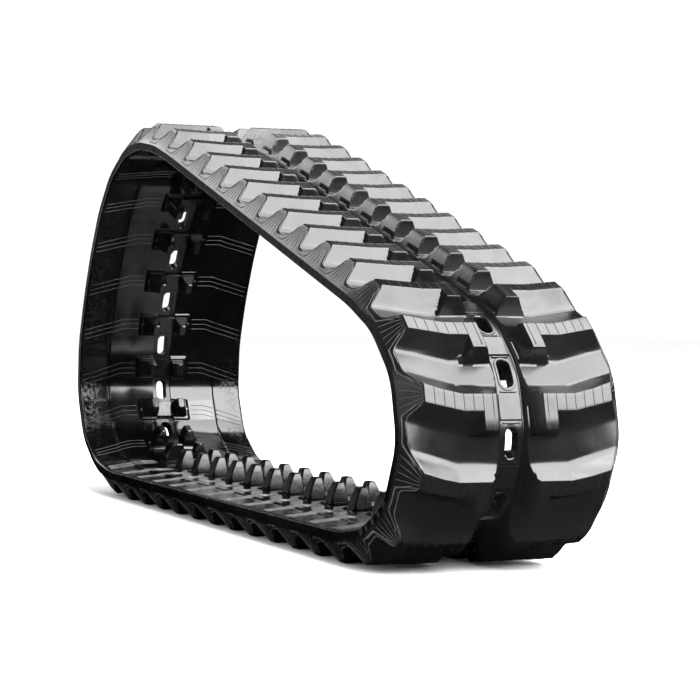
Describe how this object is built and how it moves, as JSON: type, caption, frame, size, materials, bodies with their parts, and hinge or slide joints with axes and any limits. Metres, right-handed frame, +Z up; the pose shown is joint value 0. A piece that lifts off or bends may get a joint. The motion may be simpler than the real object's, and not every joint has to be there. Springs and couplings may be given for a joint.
{
  "type": "rubber track",
  "caption": "Endless rubber track with block tread lugs, steel cores with guide horns and sprocket windows, standing free in its relaxed loop.",
  "frame": {"origin": "centre of the bounding box on the ground, between the tread lugs' ground faces and z = 0", "axes": "+X along the track towards its narrow front end, +Y across the belt, +Z up"},
  "size_m": [1.2504, 0.25, 0.5204],
  "materials": {
    "black_rubber": "glossy, as moulded",
    "forged_steel": "black bonding lacquer on forged steel, satin"
  },
  "bodies": {
    "section_01": {"rubber_section_01": "black_rubber", "steel_core_01": "forged_steel", "steel_core_02": "forged_steel"},
    "section_02": {"rubber_section_02": "black_rubber", "steel_core_03": "forged_steel", "steel_core_04": "forged_steel"},
    "section_03": {"rubber_section_03": "black_rubber", "steel_core_05": "forged_steel", "steel_core_06": "forged_steel"},
    "section_04": {"rubber_section_04": "black_rubber", "steel_core_07": "forged_steel", "steel_core_08": "forged_steel"},
    "section_05": {"rubber_section_05": "black_rubber", "steel_core_09": "forged_steel", "steel_core_10": "forged_steel"},
    "section_06": {"rubber_section_06": "black_rubber", "steel_core_11": "forged_steel", "steel_core_12": "forged_steel"},
    "section_07": {"rubber_section_07": "black_rubber", "steel_core_13": "forged_steel", "steel_core_14": "forged_steel"},
    "section_08": {"rubber_section_08": "black_rubber", "steel_core_15": "forged_steel", "steel_core_16": "forged_steel"},
    "section_09": {"rubber_section_09": "black_rubber", "steel_core_17": "forged_steel", "steel_core_18": "forged_steel"},
    "section_10": {"rubber_section_10": "black_rubber", "steel_core_19": "forged_steel", "steel_core_20": "forged_steel"},
    "section_11": {"rubber_section_11": "black_rubber", "steel_core_21": "forged_steel", "steel_core_22": "forged_steel"},
    "section_12": {"rubber_section_12": "black_rubber", "steel_core_23": "forged_steel", "steel_core_24": "forged_steel"},
    "section_13": {"rubber_section_13": "black_rubber", "steel_core_25": "forged_steel", "steel_core_26": "forged_steel"},
    "section_14": {"rubber_section_14": "black_rubber", "steel_core_27": "forged_steel", "steel_core_28": "forged_steel"},
    "section_15": {"rubber_section_15": "black_rubber", "steel_core_29": "forged_steel", "steel_core_30": "forged_steel"},
    "section_16": {"rubber_section_16": "black_rubber", "steel_core_31": "forged_steel", "steel_core_32": "forged_steel"},
    "section_17": {"rubber_section_17": "black_rubber", "steel_core_33": "forged_steel", "steel_core_34": "forged_steel"},
    "section_18": {"rubber_section_18": "black_rubber", "steel_core_35": "forged_steel", "steel_core_36": "forged_steel"},
    "section_19": {"rubber_section_19": "black_rubber", "steel_core_37": "forged_steel", "steel_core_38": "forged_steel"},
    "section_20": {"rubber_section_20": "black_rubber", "steel_core_39": "forged_steel"}
  },
  "joints": [
    {"name": "flex_12_13", "type": "hinge", "parent": "section_12", "child": "section_13", "pos_m": [0.00109, 0, 0.028], "axis": [0, 1, 0], "range_deg": [-0.301, 0.301], "stiffness_Nm_per_rad": 900},
    {"name": "flex_13_14", "type": "hinge", "parent": "section_13", "child": "section_14", "pos_m": [-0.14291, 0, 0.028], "axis": [0, 1, 0], "range_deg": [-0.301, 0.301], "stiffness_Nm_per_rad": 900},
    {"name": "flex_14_15", "type": "hinge", "parent": "section_14", "child": "section_15", "pos_m": [-0.28691, 0, 0.028], "axis": [0, 1, 0], "range_deg": [-0.301, 0.301], "stiffness_Nm_per_rad": 900},
    {"name": "flex_15_16", "type": "hinge", "parent": "section_15", "child": "section_16", "pos_m": [-0.43088, 0, 0.02941], "axis": [0, 1, 0], "range_deg": [-4.89, 4.89], "stiffness_Nm_per_rad": 900},
    {"name": "flex_16_17", "type": "hinge", "parent": "section_16", "child": "section_17", "pos_m": [-0.56206, 0, 0.08007], "axis": [0, 1, 0], "range_deg": [-4.9, 4.9], "stiffness_Nm_per_rad": 900},
    {"name": "flex_17_18", "type": "hinge", "parent": "section_17", "child": "section_18", "pos_m": [-0.59194, 0, 0.21511], "axis": [0, 1, 0], "range_deg": [-4.42, 4.42], "stiffness_Nm_per_rad": 900},
    {"name": "flex_18_19", "type": "hinge", "parent": "section_18", "child": "section_19", "pos_m": [-0.5338, 0, 0.34634], "axis": [0, 1, 0], "range_deg": [-4.7, 4.7], "stiffness_Nm_per_rad": 900},
    {"name": "flex_19_20", "type": "hinge", "parent": "section_19", "child": "section_20", "pos_m": [-0.43901, 0, 0.45317], "axis": [0, 1, 0], "range_deg": [-1.86, 1.86], "stiffness_Nm_per_rad": 900},
    {"name": "flex_20_01", "type": "hinge", "parent": "section_20", "child": "section_01", "pos_m": [-0.37382, 0, 0.48318], "axis": [0, 1, 0], "range_deg": [-5.45, 5.45], "stiffness_Nm_per_rad": 900},
    {"name": "flex_01_02", "type": "hinge", "parent": "section_01", "child": "section_02", "pos_m": [-0.23109, 0, 0.48452], "axis": [0, 1, 0], "range_deg": [-3.35, 3.35], "stiffness_Nm_per_rad": 900},
    {"name": "flex_11_12", "type": "hinge", "parent": "section_12", "child": "section_11", "pos_m": [0.14509, 0, 0.028], "axis": [0, -1, 0], "range_deg": [-0.302, 0.302], "stiffness_Nm_per_rad": 900},
    {"name": "flex_10_11", "type": "hinge", "parent": "section_11", "child": "section_10", "pos_m": [0.28909, 0, 0.028], "axis": [0, -1, 0], "range_deg": [-0.302, 0.302], "stiffness_Nm_per_rad": 900},
    {"name": "flex_09_10", "type": "hinge", "parent": "section_10", "child": "section_09", "pos_m": [0.43307, 0, 0.02902], "axis": [0, -1, 0], "range_deg": [-8, 8], "stiffness_Nm_per_rad": 900},
    {"name": "flex_08_09", "type": "hinge", "parent": "section_09", "child": "section_08", "pos_m": [0.56575, 0, 0.07587], "axis": [0, -1, 0], "range_deg": [-1.58, 1.58], "stiffness_Nm_per_rad": 900},
    {"name": "flex_07_08", "type": "hinge", "parent": "section_08", "child": "section_07", "pos_m": [0.57916, 0, 0.20894], "axis": [0, -1, 0], "range_deg": [-4.09, 4.09], "stiffness_Nm_per_rad": 900},
    {"name": "flex_06_07", "type": "hinge", "parent": "section_07", "child": "section_06", "pos_m": [0.46096, 0, 0.28619], "axis": [0, -1, 0], "range_deg": [-3.31, 3.31], "stiffness_Nm_per_rad": 900},
    {"name": "flex_05_06", "type": "hinge", "parent": "section_06", "child": "section_05", "pos_m": [0.32289, 0, 0.32706], "axis": [0, -1, 0], "range_deg": [-2.22, 2.22], "stiffness_Nm_per_rad": 900},
    {"name": "flex_04_05", "type": "hinge", "parent": "section_05", "child": "section_04", "pos_m": [0.1846, 0, 0.36723], "axis": [0, -1, 0], "range_deg": [-0.83, 0.83], "stiffness_Nm_per_rad": 900},
    {"name": "flex_03_04", "type": "hinge", "parent": "section_04", "child": "section_03", "pos_m": [0.04632, 0, 0.40741], "axis": [0, -1, 0], "range_deg": [-1, 1], "stiffness_Nm_per_rad": 900}
  ],
  "couplings": [
    {"joint": "flex_12_13", "follows": "flex_09_10", "ratio": 0.03748},
    {"joint": "flex_13_14", "follows": "flex_09_10", "ratio": 0.03746},
    {"joint": "flex_14_15", "follows": "flex_09_10", "ratio": 0.03743},
    {"joint": "flex_15_16", "follows": "flex_09_10", "ratio": 0.6111},
    {"joint": "flex_16_17", "follows": "flex_09_10", "ratio": -0.61181},
    {"joint": "flex_17_18", "follows": "flex_09_10", "ratio": -0.55248},
    {"joint": "flex_18_19", "follows": "flex_09_10", "ratio": -0.58777},
    {"joint": "flex_19_20", "follows": "flex_09_10", "ratio": 0.23191},
    {"joint": "flex_20_01", "follows": "flex_09_10", "ratio": 0.68127},
    {"joint": "flex_01_02", "follows": "flex_09_10", "ratio": 0.41854},
    {"joint": "flex_11_12", "follows": "flex_09_10", "ratio": 0.03751},
    {"joint": "flex_10_11", "follows": "flex_09_10", "ratio": 0.03752},
    {"joint": "flex_08_09", "follows": "flex_09_10", "ratio": -0.1973},
    {"joint": "flex_07_08", "follows": "flex_09_10", "ratio": -0.51165},
    {"joint": "flex_06_07", "follows": "flex_09_10", "ratio": -0.4135},
    {"joint": "flex_05_06", "follows": "flex_09_10", "ratio": -0.27755},
    {"joint": "flex_04_05", "follows": "flex_09_10", "ratio": -0.10348},
    {"joint": "flex_03_04", "follows": "flex_09_10", "ratio": 0.12532}
  ]
}
